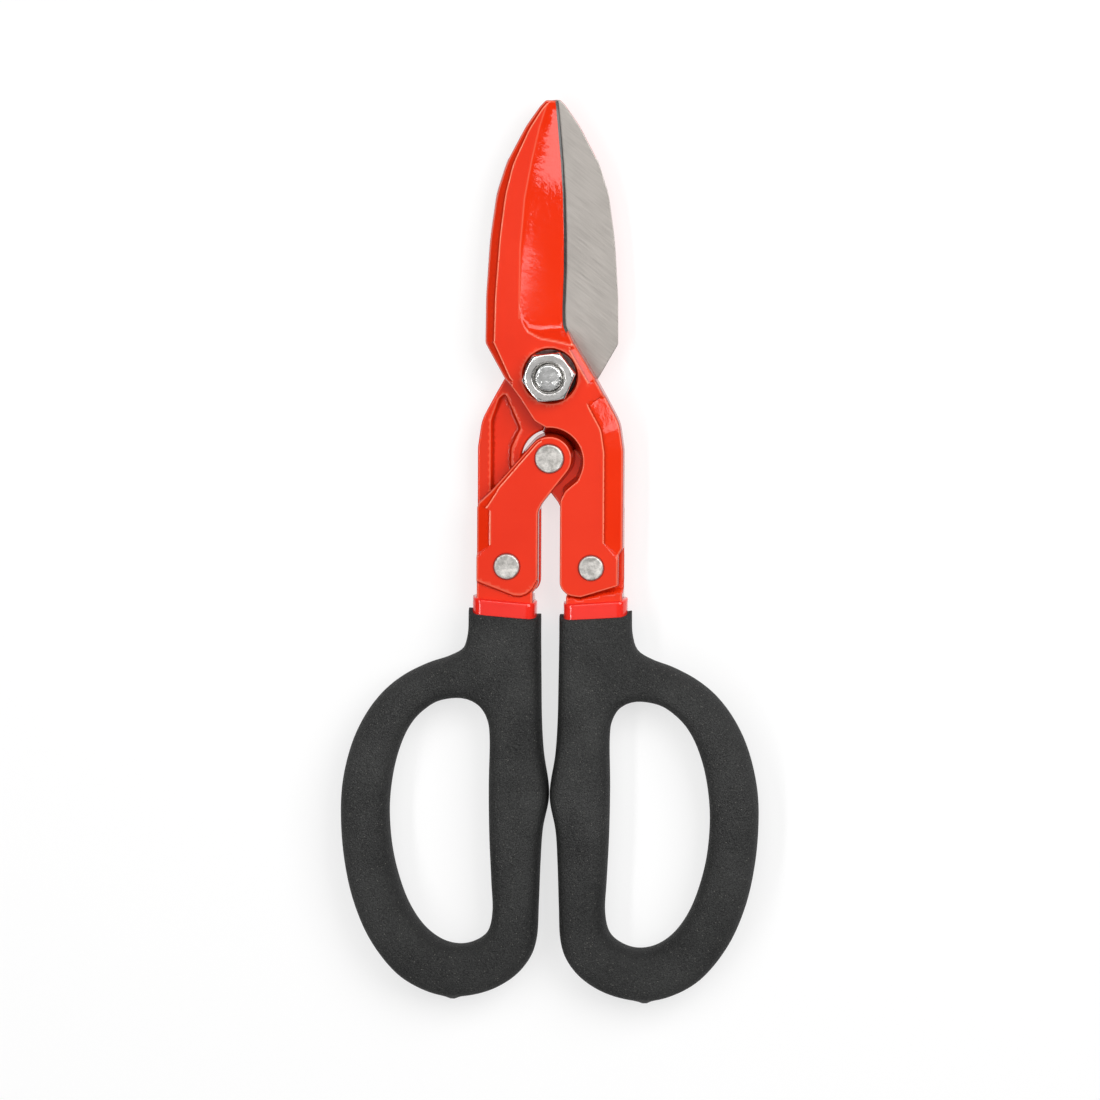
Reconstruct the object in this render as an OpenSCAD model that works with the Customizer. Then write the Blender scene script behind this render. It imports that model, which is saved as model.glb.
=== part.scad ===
// Compound-leverage tin snips with closed finger loops, lying flat, closed.
// +X right, +Y towards the tips, +Z up. The origin is on the main pivot's axis,
// on the outer face of the bolt's head, which rests on the table.

/* [Linkage] */
// Distance of each handle rivet from the centre line
rivet_x = 11.85; // [11.7:0.05:12]
// Distance of the handle rivets behind the main pivot
rivet_drop = 53.8; // [53.4:0.1:54.2]
// Distance of the fulcrum rivet behind the main pivot
fulcrum_drop = 23.2; // [22.9:0.1:23.5]

/* [Forgings] */
// Thickness of each blade and each handle arm
plate_t = 5; // [4.5:0.1:5.5]
// Running gap between the front layer and the rear layer
layer_gap = 0.1; // [0.06:0.02:0.2]
// Thickness of the handle's tang, which is centred between the layers
tang_t = 8; // [7:0.2:8.4]
// Length of the jaws in front of the main pivot
jaw_length = 77.5; // [76:0.5:80]
// Thickness of a jaw at its tip
jaw_tip_t = 2.3; // [2:0.1:3]
// Thickness of a jaw at its cutting edge
edge_t = 1.2; // [0.8:0.1:1.6]
// Radius of the round end of each handle arm
arm_end_r = 6.25; // [6:0.05:6.5]
// Radius of the notch in each blade that clears the arm ends
notch_r = 9.3; // [9:0.1:9.6]

/* [Main pivot] */
// Radius of the pivot bolt's shank
bolt_r = 4; // [3.5:0.1:4.2]
// Size of the nut and the bolt's head across their flats
hex_af = 13; // [12:0.5:13]
// Height of the nut
nut_h = 5.6; // [4:0.2:6.4]
// Height of the shear plane above the bolt head's outer face
shear_z = 7.5; // [7.4:0.1:8.5]
// Radius of the round spotface under the nut and under the head
spot_r = 7.65; // [7.6:0.05:8]
// Depth of that spotface
spot_depth = 1.5; // [1.2:0.1:1.8]
// Thickness of the washer under the nut
washer_t = 0.6; // [0.4:0.1:1]

/* [Rivets] */
// Radius of the rivets' shanks
rivet_r = 2.6; // [2.2:0.1:2.8]
// Radius of the handle rivets' heads
rivet_head_r = 3.6; // [3.4:0.1:3.8]
// Radius of the fulcrum rivet's heads
fulcrum_head_r = 4; // [3.8:0.1:4.4]
// How far the rivet heads stand proud
rivet_head_h = 0.8; // [0.5:0.1:1.2]
// Radial clearance of a shaft in the piece that turns on it
running_fit = 0.05; // [0.03:0.01:0.08]
// Radial clearance of the fulcrum rivet in the right arm, where the linkage is opened
open_fit = 0.3; // [0.26:0.02:0.4]

/* [Grips] */
// Thickness of the finger loops
grip_t = 14.6; // [14:0.1:14.8]
// Thickness of the grip where it ends below the collar
rim_t = 12.6; // [12:0.1:13.4]
// Thickness of the grip coat
grip_wall = 1.15; // [1:0.05:1.3]
// Thickness of the dipped sleeve under it
sleeve_wall = 1.15; // [1:0.05:1.3]
// Distance of the grip's rim behind the main pivot
grip_top = 67.5; // [67:0.1:68.5]
// Distance of the sleeve's rim behind the main pivot
sleeve_top = 64; // [63.6:0.1:64.6]
// Radius of the drip nub at the bottom of each loop
nub_r = 3; // [2.5:0.1:3.5]

/* [Hidden] */
$fn = 64;
paint = [0.93, 0.26, 0.16];
vinyl = [0.98, 0.20, 0.18];
foam = [0.19, 0.19, 0.19];
zinc = [0.80, 0.80, 0.80];
steel = [0.72, 0.71, 0.68];
// Everything is drawn about the shear plane, z = 0, then lifted by shear_z
z_in = layer_gap / 2;
z_out = z_in + plate_t;
z_spot = z_out - spot_depth;
seat = 0.03;
cut = 1;
right_rivet_at = [rivet_x, -rivet_drop];
left_rivet_at = [-rivet_x, -rivet_drop];
fulcrum_at = [0, -fulcrum_drop];
notch_at = [0, -fulcrum_drop - 0.7];
hex_turn = 7.5;
// Rows along the jaw: y, spine, bevel line, facet line, cutting edge
jaw_rows = [
    [8, -17.8, -15.6, -8.9, 3.7],
    [16, -18.4, -15.6, -8.7, 3.7],
    [28, -18.0, -15.1, -8.7, 4.1],
    [40, -17.1, -14.2, -8.3, 4.1],
    [51, -15.5, -12.8, -7.3, 3.8],
    [60, -12.7, -11.0, -5.8, 3.2],
    [69, -8.2, -7.0, -4.0, 2.3],
    [jaw_length, -1.9, -1.7, -1.4, 1.5]];
// Blade from the end of the jaw's hollow to the tail, clockwise
blade_outline = [
    [-15.6, 12], [-8.7, 15], [-6.2, 13], [-3.5, 11.3], [0.6, 9.6], [5.4, 8.2],
    [6.4, 9.6], [13.2, -1.8], [15.6, -6.2], [17.8, -10], [19.6, -14], [20.4, -20],
    [20.5, -47.8], [19.4, -50], [19.4, -58.9], [14.7, -60.5], [8.9, -62.2], [6, -61.6],
    [3.9, -60.2], [3, -57.5], [3, -34.6], [4.4, -32.3], [9.3, -27], [0, -14],
    [-1.2, -14.6], [-3.6, -13.4], [-4.6, -12.2], [-8.6, -6.1], [-10.8, -3.3],
    [-12.6, -1.5], [-17.8, 8]];
// Left handle's arm, anticlockwise from its round end
arm_outline = [
    [-4.8, -19.2], [-16.6, -32.8], [-20, -36.2], [-20.45, -37.4], [-20.45, -58.5],
    [-9.7, -62.3], [-8, -62.2], [-5.2, -60.8], [-3.7, -58.6], [-3.2, -56], [-3.2, -38.5],
    [-2, -35.9], [4.8, -27.2], [0, -fulcrum_drop]];
tang_out = -20.5;
tang_in = -4.7;
// Rear half of the left tang, with a shoulder that clears the rear blade's tail
shoulder = [[tang_out, -60.3], [-14.2, -61.5], [-8.9, -62.8], [tang_in, -62.2]];
tang_end = -76;
// Grip stem: y, outer side, inner side, share of the way from rim_t to grip_t
stem_rows = [
    [-grip_top, -22.9, -2.7, 0],
    [-74, -23.2, -2.7, 0.6],
    [-80, -25.6, -2.6, 1],
    [-89.5, -26.5, -3.2, 1]];
// Left loop, clockwise: finger hole's edge x, y, then the outer edge x, y
loop_rows = [
    [-16.9, -101, -2.3, -100], [-17.1, -115, -0.4, -116.5], [-17, -129, -1.9, -130],
    [-16.3, -143, -2.8, -146], [-16.6, -156, -3.6, -160.5], [-20, -159.8, -9, -169.2],
    [-25.7, -161.2, -20, -174.9], [-31.5, -159.5, -34, -174.6], [-37.5, -153.8, -46, -166.6],
    [-42, -145, -54.5, -152.3], [-44.6, -134, -58.3, -137], [-45.4, -124, -59.1, -123],
    [-44.3, -112.5, -57.2, -110], [-41.5, -103.2, -51.5, -95.6], [-36.6, -95.8, -42.5, -86],
    [-30.5, -92.1, -29.5, -79.5], [-24.5, -91.6, -13, -80], [-18.6, -94.7, -2.6, -88]];
nub_at = [-27.3, -173.7, 0];
steps = 3;
sides = 12;
round_power = 2.3;
stem_power = 5;

// Points of a superellipse with half-axes a and b, as [across, up]
function oval(a, b, power) = [for (k = [0:sides - 1])
    let (c = cos(360 * k / sides), s = sin(360 * k / sides))
    [a * sign(c) * pow(abs(c), 2 / power), b * sign(s) * pow(abs(s), 2 / power)]];

// A point of the closed curve through the rows p, at share t from row i to the next
function on_curve(p, i, t) =
    let (n = len(p), a = p[(i + n - 1) % n], b = p[i], c = p[(i + 1) % n], d = p[(i + 2) % n])
    (2 * b + (c - a) * t + (2 * a - 5 * b + 4 * c - d) * t * t
        + (3 * b - a - 3 * c + d) * t * t * t) / 2;

// Cross-section of the loop between a hole edge point and an outer edge point
function loop_section(row, inset) =
    let (hole = [row[0], row[1]], rim = [row[2], row[3]],
         way = (rim - hole) / norm(rim - hole), mid = (rim + hole) / 2)
    [for (q = oval(norm(rim - hole) / 2 - inset, grip_t / 2 - inset, round_power))
        [mid[0] + way[0] * q[0], mid[1] + way[1] * q[0], q[1]]];

function loop_sections(inset) = [for (i = [0:len(loop_rows) - 1], k = [0:steps - 1])
    loop_section(on_curve(loop_rows, i, k / steps), inset)];

function stem_section(row, inset) =
    let (half = (row[2] - row[1]) / 2 - inset, t = rim_t + (grip_t - rim_t) * row[3])
    [for (q = oval(half, t / 2 - inset, stem_power))
        [(row[1] + row[2]) / 2 + q[0], row[0], q[1]]];

// Solid through a list of cross-sections, a ring of them if closed is true
module loft(sections, closed = false) {
    n = len(sections);
    m = len(sections[0]);
    last = closed ? n - 1 : n - 2;
    walls = [for (i = [0:last], k = [0:m - 1])
        let (a = i * m + k, b = i * m + (k + 1) % m,
             c = ((i + 1) % n) * m + (k + 1) % m, d = ((i + 1) % n) * m + k)
        each [[a, c, b], [a, d, c]]];
    caps = closed ? [] : [[for (k = [0:m - 1]) k], [for (k = [0:m - 1]) n * m - 1 - k]];
    polyhedron(points = [for (s = sections, p = s) p], faces = concat(walls, caps), convexity = 8);
}

// The dipped shape of the left handle, shrunk by inset, up to a rim at y = -top
module dipped_form(inset, top) {
    rows = [for (r = stem_rows) r == stem_rows[0] ? [-top, r[1], r[2], r[3]] : r];
    loft([for (r = rows) stem_section(r, inset)]);
    loft(loop_sections(inset), closed = true);
}

// The steel inside the left sleeve: tang and bar of the finger loop
module core_form() {
    dipped_form(grip_wall + sleeve_wall, grip_top + 4);
    translate([0, 0, -tang_t / 2]) linear_extrude(tang_t / 2)
        polygon(concat(shoulder, [[tang_in, tang_end], [tang_out, tang_end]]));
    linear_extrude(tang_t / 2)
        polygon([[tang_out, -58], [tang_in, -58], [tang_in, tang_end], [tang_out, tang_end]]);
}

module jaw_form() {
    loft([for (r = jaw_rows)
        let (share = (r[0] - 8) / (jaw_length - 8), t = plate_t + (jaw_tip_t - plate_t) * share,
             e = min(edge_t, t / 2))
        [[r[1], r[0], z_in], [r[1], r[0], z_in + t / 2], [r[2], r[0], z_in + t],
         [r[3], r[0], z_in + t], [r[4], r[0], z_in + e], [r[4], r[0], z_in]]]);
}

// Vertical hole through one layer
module hole(at, r) {
    translate([at[0], at[1], -cut]) cylinder(r = r, h = z_out + 2 * cut);
}

module blade_form() {
    difference() {
        union() {
            translate([0, 0, z_in]) linear_extrude(plate_t) polygon(blade_outline);
            jaw_form();
        }
        hole([0, 0], bolt_r + running_fit);
        hole(right_rivet_at, rivet_r + running_fit);
        hole(notch_at, notch_r);
        translate([0, 0, z_spot]) cylinder(r = spot_r, h = plate_t);
    }
}

module handle_form(fulcrum_fit) {
    difference() {
        union() {
            translate([0, 0, z_in]) linear_extrude(plate_t) polygon(arm_outline);
            translate([0, -fulcrum_drop, z_in]) cylinder(r = arm_end_r, h = plate_t);
            core_form();
        }
        hole(fulcrum_at, rivet_r + fulcrum_fit);
        hole(left_rivet_at, rivet_r);
    }
}

module sleeve_form() {
    difference() {
        dipped_form(grip_wall, sleeve_top);
        core_form();
    }
}

module grip_form() {
    difference() {
        union() {
            dipped_form(0, grip_top);
            translate(nub_at) sphere(r = nub_r, $fn = 24);
        }
        dipped_form(grip_wall, sleeve_top);
    }
}

// Rivet through both layers, head radius r, with its shank in the left handle
module rivet_form(at, r) {
    translate([at[0], at[1], 0]) {
        translate([0, 0, -z_out - seat]) cylinder(r = rivet_r, h = 2 * (z_out + seat));
        for (side = [0, 180]) rotate([0, side, 0]) translate([0, 0, z_out + seat])
            cylinder(r1 = r, r2 = r - rivet_head_h / 2, h = rivet_head_h);
    }
}

// Turns a left or front piece over into its right or rear twin
module turned_over() { rotate([0, 180, 0]) children(); }
module lifted() { translate([0, 0, shear_z]) children(); }

module front_blade() { color(paint) lifted() blade_form(); }
module rear_blade() { color(paint) lifted() turned_over() blade_form(); }
module left_handle() { color(paint) lifted() handle_form(0); }
module right_handle() { color(paint) lifted() turned_over() handle_form(open_fit); }
module left_sleeve() { color(vinyl) lifted() sleeve_form(); }
module right_sleeve() { color(vinyl) lifted() turned_over() sleeve_form(); }
module left_grip() { color(foam) lifted() grip_form(); }
module right_grip() { color(foam) lifted() turned_over() grip_form(); }
module fulcrum_rivet() { color(steel) lifted() rivet_form(fulcrum_at, fulcrum_head_r); }
module left_rivet() { color(steel) lifted() rivet_form(left_rivet_at, rivet_head_r); }
module right_rivet() { color(steel) lifted() rivet_form(right_rivet_at, rivet_head_r); }

module hex_form(h) { rotate([0, 0, hex_turn]) cylinder(r = hex_af / sqrt(3), h = h, $fn = 6); }

module pivot_bolt() {
    nut_top = shear_z + z_spot + washer_t + nut_h;
    color(zinc) {
        hex_form(shear_z - z_spot - seat);
        cylinder(r = bolt_r, h = nut_top + 0.5);
    }
}

module pivot_washer() {
    color(steel) translate([0, 0, shear_z + z_spot]) difference() {
        cylinder(r = spot_r - 0.3, h = washer_t);
        translate([0, 0, -cut]) cylinder(r = bolt_r + 0.2, h = washer_t + 2 * cut);
    }
}

module pivot_nut() {
    color(zinc) translate([0, 0, shear_z + z_spot + washer_t]) difference() {
        hex_form(nut_h);
        translate([0, 0, -cut]) cylinder(r = bolt_r, h = nut_h + 2 * cut);
    }
}

front_blade();
rear_blade();
pivot_bolt();
pivot_washer();
pivot_nut();
fulcrum_rivet();
left_rivet();
right_rivet();
left_handle();
right_handle();
left_sleeve();
right_sleeve();
left_grip();
right_grip();
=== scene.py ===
import math
import bpy
import numpy as np
from mathutils import Matrix, Vector
from mathutils.geometry import delaunay_2d_cdt


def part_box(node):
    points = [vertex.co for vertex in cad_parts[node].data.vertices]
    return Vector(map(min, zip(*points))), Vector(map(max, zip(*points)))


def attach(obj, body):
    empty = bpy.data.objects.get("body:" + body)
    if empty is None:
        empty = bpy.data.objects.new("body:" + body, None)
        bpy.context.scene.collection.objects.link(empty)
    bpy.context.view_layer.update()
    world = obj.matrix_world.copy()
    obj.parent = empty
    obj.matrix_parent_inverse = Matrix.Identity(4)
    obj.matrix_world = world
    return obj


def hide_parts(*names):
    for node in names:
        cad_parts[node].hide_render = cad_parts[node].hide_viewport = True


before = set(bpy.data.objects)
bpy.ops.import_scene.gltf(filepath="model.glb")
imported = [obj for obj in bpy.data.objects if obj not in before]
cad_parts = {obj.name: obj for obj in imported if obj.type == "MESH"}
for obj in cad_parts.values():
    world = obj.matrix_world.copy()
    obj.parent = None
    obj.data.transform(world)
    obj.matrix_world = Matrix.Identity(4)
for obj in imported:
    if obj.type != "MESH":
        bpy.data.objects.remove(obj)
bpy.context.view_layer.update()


# ---- Camera, floor and studio light
# The tool lies on a pale table, seen from almost straight above, a little from the tips' side
# and a little from the right. Large soft panels hang over it.

MM = 0.001
VIEW_TILT_TO_TIPS = math.radians(8.0)
VIEW_TILT_TO_RIGHT = math.radians(5.5)
VIEW_ROLL = math.radians(0.3)
VIEW_DISTANCE = 1.8
VIEW_WIDTH = 0.3085
VIEW_CENTRE = Vector((-0.0002, -0.04965, 0.0075))


def look_from(place, target, roll=0.0):
    """Matrix of a camera or light at place, facing target, with +Y as near up as it can be."""
    back = (place - target).normalized()
    right = Vector((0, 1, 0)).cross(back).normalized()
    turned = Matrix((right, back.cross(right), back)).transposed() @ Matrix.Rotation(roll, 3, "Z")
    return Matrix.Translation(place) @ turned.to_4x4()


def make_camera():
    """A long lens far away, so that the tool shows almost without perspective."""
    towards = Vector((math.tan(VIEW_TILT_TO_RIGHT), math.tan(VIEW_TILT_TO_TIPS), 1)).normalized()
    lens = bpy.data.cameras.new("camera")
    lens.sensor_width = 36
    lens.lens = lens.sensor_width * VIEW_DISTANCE / VIEW_WIDTH
    lens.clip_end = 20
    camera = bpy.data.objects.new("camera", lens)
    camera.matrix_world = look_from(VIEW_CENTRE + VIEW_DISTANCE * towards, VIEW_CENTRE, VIEW_ROLL)
    bpy.context.collection.objects.link(camera)
    bpy.context.scene.camera = camera


def panel(name, place, size, radiance, target=VIEW_CENTRE):
    """A soft square light. Its power is radiance times pi times its area."""
    lamp = bpy.data.lights.new(name, "AREA")
    lamp.shape = "RECTANGLE"
    lamp.size, lamp.size_y = size
    lamp.energy = radiance * math.pi * size[0] * size[1]
    lit = bpy.data.objects.new(name, lamp)
    lit.matrix_world = look_from(Vector(place), Vector(target))
    bpy.context.collection.objects.link(lit)


def make_floor():
    """A white sheet a tenth of a millimetre below the bolt's head, which glows faintly."""
    half, low = 3.0, -0.1 * MM
    corners = [(-half, -half, low), (half, -half, low), (half, half, low), (-half, half, low)]
    mesh = bpy.data.meshes.new("floor")
    mesh.from_pydata(corners, [], [(0, 1, 2, 3)])
    floor = bpy.data.objects.new("floor", mesh)
    bpy.context.collection.objects.link(floor)
    white = bpy.data.materials.new("floor_white")
    white.use_nodes = True
    shader = white.node_tree.nodes["Principled BSDF"]
    shader.inputs["Base Color"].default_value = (0.35, 0.35, 0.35, 1)
    shader.inputs["Roughness"].default_value = 0.9
    shader.inputs["Specular IOR Level"].default_value = 0.1
    shader.inputs["Emission Color"].default_value = (1, 1, 1, 1)
    shader.inputs["Emission Strength"].default_value = 0.66
    mesh.materials.append(white)


make_camera()
make_floor()
panel("panel_right", (0.66, 0.38, 0.85), (0.62, 0.86), 4.6, (0.0, 0.05, 0))
panel("panel_over", (0.1, 0.62, 1.25), (1.1, 0.75), 2.7)
panel("strip_left", (-0.5, 0.0, 0.87), (0.09, 1.2), 9.0)
panel("panel_back", (-0.1, -1.0, 0.9), (1.4, 0.6), 0.6)
panel("panel_top", (-0.12, -0.22, 1.3), (0.8, 0.8), 0.45)
world = bpy.data.worlds.new("studio")
world.use_nodes = True
world.node_tree.nodes["Background"].inputs["Color"].default_value = (1, 1, 1, 1)
world.node_tree.nodes["Background"].inputs["Strength"].default_value = 0.07
bpy.context.scene.world = world
bpy.context.scene.view_settings.view_transform = "Standard"


# ---- Blades
# Two twin drop forgings in tool steel, painted red-orange. Each has a tapered jaw with a bevelled
# spine and a hollow outer face, a flat boss with a spotface for the pivot, and a bevelled tail.
# The jaw's inner face and its cutting edge are ground bare after painting.

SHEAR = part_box("pivot_bolt")[0][2] / MM + 7.5
LAYER_IN = 0.05
LAYER_OUT = 5.05
PIVOT_BORE = 4.05
SPOT_RADIUS = 7.65
SPOT_DEPTH = 1.5
FULCRUM_Y = -23.2
RIVET_X = 11.85
RIVET_Y = -53.8
RIVET_BORE = 2.6
RIVET_HEAD = 3.5
NOTCH_Y = -23.9
NOTCH_RADIUS = 9.3
TIP_Y = 76.55
TIP_THICKNESS = 2.3
TAPER_FROM = 11.0
EDGE_STRIP = 0.75
# Along the jaw: the hollow's facet line, the cutting edge, and that edge's height.
JAW_Y = np.array([9, 19.9, 35.6, 49.4, 60.3, 69.2, 76.55])
FACET_X = np.array([-8.7, -8.7, -8.6, -7.5, -5.5, -3.5, -1.2])
CUT_X = np.array([3.7, 4.0, 4.1, 3.8, 3.0, 2.2, 1.5])
EDGE_Z = np.array([1.35, 1.3, 1.2, 1.0, 0.85, 0.8, 0.8])
# Where the hollow runs out behind the jaw, and how steeply it rises there.
HOLLOW_END_X = np.array([-9.2, -8.4, -7.6, -6.3, -2.8, 1.2, 5.8])
HOLLOW_END_Y = np.array([22, 16.4, 14.4, 12.3, 10.5, 9.8, 8.8])
HOLLOW_END_SLOPE = 1.1
PAINT_BREAK = 0.45
# Widths of the bevels along the outline, and where the tail's bevel runs out.
SPINE_BEVEL_Y = [8, 20, 36, 50, 61, 70, 76]
SPINE_BEVEL = [2.7, 2.9, 3.0, 2.7, 1.9, 1.3, 0.9]
HEEL_BEVEL_Y = [-3.5, -2.4, 8.7]
HEEL_BEVEL = [0.0, 1.5, 2.6]
TAIL_BEVEL_Y = [-53.0, -52.5, -6.0, -2.6, -1.6, 8.4, 9.4]
TAIL_BEVEL = [0.0, 5.2, 5.3, 4.6, 2.1, 1.9, 0.0]
TAIL_END = (15.3, -46.9)
TAIL_END_RUN = (-0.632, -0.776)
BEVELLED = 0.02
BEVEL_BLEND = 0.22
END_RISE = 2.0
# Rows of points set beside the outline, the bevels, their ends and the rivet heads.
RIM_ROWS = (0.04, 0.15, 0.27, 0.42, 0.6, 0.85)
BESIDE = (-0.5, -0.32, -0.17, -0.05, 0.07, 0.2, 0.4)
END_ROWS = (-0.15, 0.0, 0.15, 0.35, 0.6)
HEAD_ROWS = (-0.1, 0.07, 0.24, 0.45)
POCKET_DEPTH = 1.7
# Walls lean outwards on the inner side, most in the notch.
DRAFT = 0.2
DRAFT_SPREAD = 0.9
NOTCH_DRAFT = 1.0
FRONT_WEB = 1.25
# The whole inner face is painted a little darker: painted shade on the lower layer.
INNER_PAINTED_SHADE = -0.14
HEEL_Y = 8.7


def filleted(corners, pitch):
    """Closed line through corners (x, y, radius), stepped at pitch. Each corner is replaced by the
    arc that touches both its sides: its centre lies on the bisector at radius / sin(half angle)."""
    c = np.array(corners, float)
    at, r = c[:, :2], c[:, 2]
    back, on = np.roll(at, 1, 0) - at, np.roll(at, -1, 0) - at
    reach = np.minimum(np.linalg.norm(back, axis=1), np.linalg.norm(on, axis=1)) * 0.49
    u = back / np.linalg.norm(back, axis=1)[:, None]
    v = on / np.linalg.norm(on, axis=1)[:, None]
    half = np.arccos(np.clip((u * v).sum(1), -1, 1)) / 2
    tangent = np.minimum(r / np.tan(half), reach)
    r = np.maximum(tangent * np.tan(half), 1e-6)
    bisector = (u + v) / np.maximum(np.linalg.norm(u + v, axis=1), 1e-9)[:, None]
    centre = at + bisector * (r / np.sin(half))[:, None]
    start = at + u * tangent[:, None] - centre
    end = at + v * tangent[:, None] - centre
    a0 = np.arctan2(start[:, 1], start[:, 0])
    turn = (np.arctan2(end[:, 1], end[:, 0]) - a0 + np.pi) % (2 * np.pi) - np.pi
    a = a0[:, None] + turn[:, None] * np.linspace(0, 1, 9)
    line = (centre[:, None] + r[:, None, None] * np.stack([np.cos(a), np.sin(a)], 2)).reshape(-1, 2)
    line = line[np.linalg.norm(line - np.roll(line, 1, 0), axis=1) > 0.02]
    return stepped(line, pitch)


def stepped(line, pitch):
    """The same closed line with every side cut into equal steps no longer than pitch."""
    side = np.roll(line, -1, 0) - line
    n = np.maximum(np.ceil(np.linalg.norm(side, axis=1) / pitch).astype(int), 1)
    k = np.repeat(np.arange(len(line)), n)
    share = (np.arange(n.sum()) - np.repeat(np.cumsum(n) - n, n)) / np.repeat(n, n)
    return line[k] + side[k] * share[:, None]


def inward(line):
    """Unit normals of a closed anticlockwise line, pointing to its inside."""
    run = np.roll(line, -1, 0) - np.roll(line, 1, 0)
    normal = np.stack([-run[:, 1], run[:, 0]], 1)
    return normal / np.linalg.norm(normal, axis=1)[:, None]


def nearest(points, line):
    """Distance from each point to a closed line, and the number of the nearest of its corners."""
    a, ab = line, np.roll(line, -1, 0) - line
    square = (ab ** 2).sum(1)
    distance, corner = np.empty(len(points)), np.empty(len(points), int)
    for block in np.array_split(np.arange(len(points)), max(1, len(points) // 2000)):
        ap = points[block][:, None] - a
        t = np.clip((ap * ab).sum(2) / square, 0, 1)
        gap = np.linalg.norm(ap - t[..., None] * ab, axis=2)
        k = gap.argmin(1)
        row = np.arange(len(block))
        distance[block] = gap[row, k]
        corner[block] = (k + (t[row, k] > 0.5)) % len(line)
    return distance, corner


def soft_least(a, b, blend):
    """The lesser of two heights, with the crossing rounded over a width of blend."""
    h = np.clip(0.5 + 0.5 * (b - a) / blend, 0, 1)
    return a * h + b * (1 - h) - blend * h * (1 - h)


def soft_most(a, b, blend):
    """The greater of two heights, rounded in the same way."""
    return -soft_least(-a, -b, blend)


def smooth_step(t):
    """From nothing to one with level ends: 3 t squared less 2 t cubed."""
    t = np.clip(t, 0, 1)
    return t * t * (3 - 2 * t)


def rounded_edge(depth, radius):
    """How far a face drops at a depth inside its outline: a quarter circle of that radius."""
    short = np.maximum(radius - depth, 0)
    return radius - np.sqrt(np.maximum(radius ** 2 - short ** 2, 0))


def inside(points, line):
    """Whether each point lies inside a closed line, by how often a ray to the right crosses it."""
    a, b = line, np.roll(line, -1, 0)
    x, y = points[:, :1], points[:, 1:]
    level = (a[:, 1] > y) != (b[:, 1] > y)
    rise = np.where(b[:, 1] == a[:, 1], 1e-12, b[:, 1] - a[:, 1])
    crossing = a[:, 0] + (y - a[:, 1]) / rise * (b[:, 0] - a[:, 0])
    return (level & (x < crossing)).sum(1) % 2 == 1


def streak(distance, half_width):
    """One on a line and fading to nothing beside it."""
    return np.exp(-(distance / half_width) ** 2)


def bevel_painted_lines(depth, width, dark):
    """A painted highlight along a bevel's upper edge and a painted shade line just below it."""
    return streak(depth - width - 0.05, 0.17) - dark * streak(depth - width + 0.28, 0.2)


def break_painted_lines(depth):
    """A painted highlight just inside an outline's broken edge, and a painted shade line on the edge itself.
    """
    return 0.55 * streak(depth - 0.3, 0.16) - 0.8 * streak(depth, 0.12)


def head_shadow(x, y, centre, radius):
    """One in the dark seam round a rivet's head, fading to nothing beside it."""
    return streak(np.hypot(x - centre[0], y - centre[1]) - radius - 0.05, 0.22)


def circle(centre, radius, n):
    """Points (x, y) at n even steps round a circle."""
    a = np.arange(n) * 2 * np.pi / n
    return np.array(centre) + radius * np.stack([np.cos(a), np.sin(a)], 1)


def make_piece(name, verts, faces, mirrored=False, face_materials=None, painted_shading=None):
    """A smooth mesh from rows of points in mm about the shear plane. A mirrored piece is turned
    over, half a turn about Y, as the tool's right and rear pieces are."""
    verts = np.asarray(verts, float)
    if mirrored:
        verts = verts * np.array([-1, 1, -1])
    verts = (verts + np.array([0, 0, SHEAR])) * MM
    mesh = bpy.data.meshes.new(name)
    mesh.from_pydata(verts.tolist(), [], faces if isinstance(faces, list) else faces.tolist())
    mesh.polygons.foreach_set("use_smooth", np.ones(len(mesh.polygons), bool))
    if face_materials is not None:
        mesh.polygons.foreach_set("material_index", np.asarray(face_materials, np.int32))
    # The painted shading attribute: painted highlight and shade lines on the paint, painted light and shade
    # on the grips.
    if painted_shading is not None:
        marks = mesh.attributes.new("painted_shading", "FLOAT", "POINT")
        marks.data.foreach_set("value", np.asarray(painted_shading, np.float32))
    mesh.update()
    piece = bpy.data.objects.new(name, mesh)
    bpy.context.collection.objects.link(piece)
    return piece


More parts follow.
